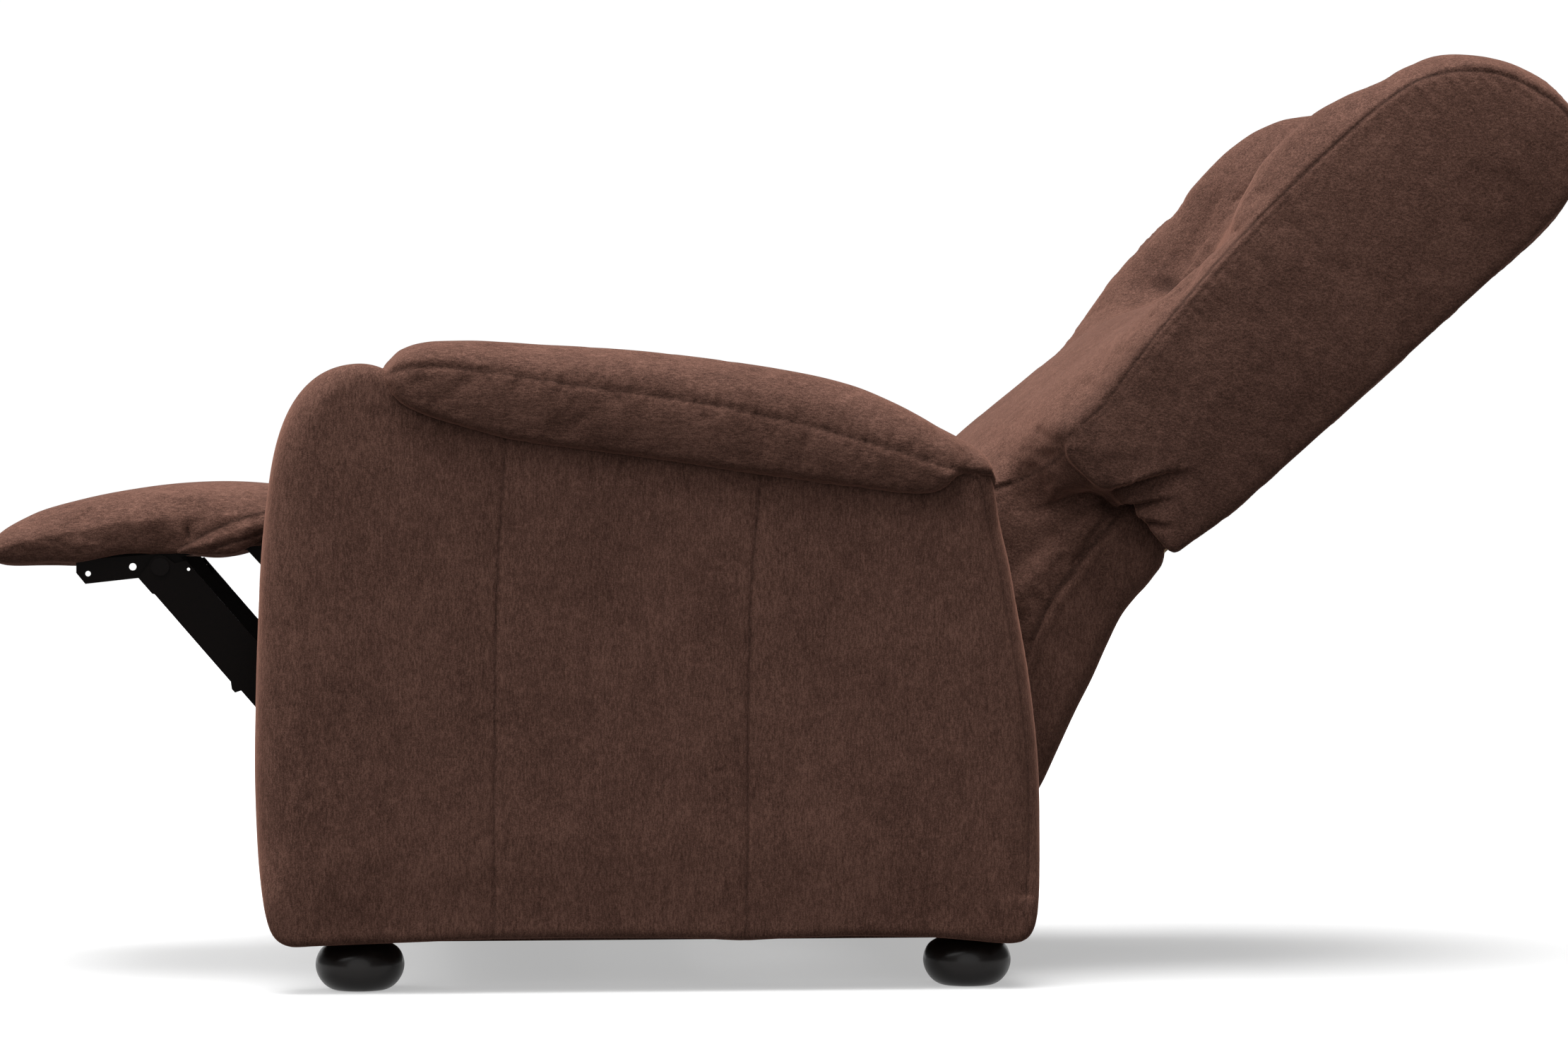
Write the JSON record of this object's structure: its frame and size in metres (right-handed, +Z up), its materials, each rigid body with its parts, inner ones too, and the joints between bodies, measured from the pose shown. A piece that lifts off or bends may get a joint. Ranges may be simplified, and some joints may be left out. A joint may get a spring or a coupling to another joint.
{
  "type": "reclining armchair",
  "caption": "Upholstered reclining armchair with padded arms, a tilting back with lumbar and head cushions, a leg rest that folds out on steel links, and round bun feet.",
  "frame": {"origin": "centre of the footprint of the fully reclined chair, on the floor", "axes": "+Z up, the chair faces -Y, its left side is +X"},
  "size_m": [0.768, 1.5868, 0.9182],
  "materials": {
    "upholstery": "dark brown velvet-like woven upholstery fabric over foam",
    "dark_wood": "glossy dark lacquered wood",
    "frame_wood": "plain unfinished frame wood",
    "black_steel": "black powder coat, satin",
    "bare_steel": "bare zinc-plated steel",
    "webbing": "black elastic webbing"
  },
  "bodies": {
    "base": {"arm_frame_left": "frame_wood", "arm_frame_right": "frame_wood", "outer_arm_padding_left": "upholstery", "outer_arm_padding_right": "upholstery", "inner_arm_padding_left": "upholstery", "inner_arm_padding_right": "upholstery", "armrest_pad_left": "upholstery", "armrest_pad_right": "upholstery", "bun_foot_front_left": "dark_wood", "bun_foot_front_right": "dark_wood", "bun_foot_rear_left": "dark_wood", "bun_foot_rear_right": "dark_wood", "foot_bolts": "bare_steel", "front_base_rail": "frame_wood", "rear_base_rail": "frame_wood", "side_sill_left": "frame_wood", "side_sill_right": "frame_wood", "mechanism_rail_left": "black_steel", "mechanism_rail_right": "black_steel", "rail_spacers": "bare_steel", "rail_pivot_pins": "bare_steel", "seat_side_rail_left": "frame_wood", "seat_side_rail_right": "frame_wood", "seat_front_rail": "frame_wood", "seat_rear_rail": "frame_wood", "seat_webbing": "webbing", "seat_cushion": "upholstery", "rear_skirt": "upholstery", "rail_fasteners": "bare_steel"},
    "drive_links": {"drive_plate_left": "black_steel", "drive_plate_right": "black_steel", "torque_tube": "black_steel", "front_link_pins": "bare_steel", "rear_link_pins": "bare_steel"},
    "front_links": {"front_link_left": "black_steel", "front_link_right": "black_steel", "leg_rest_front_pins": "bare_steel"},
    "rear_links": {"rear_link_left": "black_steel", "rear_link_right": "black_steel"},
    "leg_rest": {"leg_rest_bracket_left": "black_steel", "leg_rest_bracket_right": "black_steel", "leg_rest_board": "frame_wood", "leg_rest_pad": "upholstery", "bracket_rivets": "bare_steel", "leg_rest_rear_pins": "bare_steel"},
    "back": {"back_post_left": "frame_wood", "back_post_right": "frame_wood", "back_bottom_rail": "frame_wood", "back_middle_rail": "frame_wood", "back_top_rail": "frame_wood", "back_webbing": "webbing", "outer_back_panel": "upholstery", "lumbar_cushion": "upholstery", "head_cushion": "upholstery", "back_wing_left": "upholstery", "back_wing_right": "upholstery", "back_hinge_bracket_left": "black_steel", "back_hinge_bracket_right": "black_steel", "back_bracket_bolts": "bare_steel"}
  },
  "joints": [
    {"name": "leg_rest_drive", "type": "hinge", "parent": "base", "child": "drive_links", "pos_m": [0, -0.275, 0.33], "axis": [1, 0, 0], "range_deg": [0, 90]},
    {"name": "front_link_pivot", "type": "hinge", "parent": "drive_links", "child": "front_links", "pos_m": [0, -0.424, 0.187], "axis": [1, 0, 0], "range_deg": [-48.1, 0.1]},
    {"name": "rear_link_pivot", "type": "hinge", "parent": "drive_links", "child": "rear_links", "pos_m": [0, -0.296, 0.187], "axis": [1, 0, 0], "range_deg": [-48.1, 0.1]},
    {"name": "leg_rest_pivot", "type": "hinge", "parent": "front_links", "child": "leg_rest", "pos_m": [0, -0.62, 0.414], "axis": [1, 0, 0], "range_deg": [-0.1, 48.1]},
    {"name": "back_recline", "type": "hinge", "parent": "base", "child": "back", "pos_m": [0, 0.15, 0.345], "axis": [1, 0, 0], "range_deg": [0, 40], "deforming": ["rear_skirt"]}
  ],
  "couplings": [
    {"joint": "front_link_pivot", "follows": "leg_rest_drive", "ratio": -0.53333},
    {"joint": "rear_link_pivot", "follows": "leg_rest_drive", "ratio": -0.53333},
    {"joint": "leg_rest_pivot", "follows": "leg_rest_drive", "ratio": 0.53333}
  ]
}
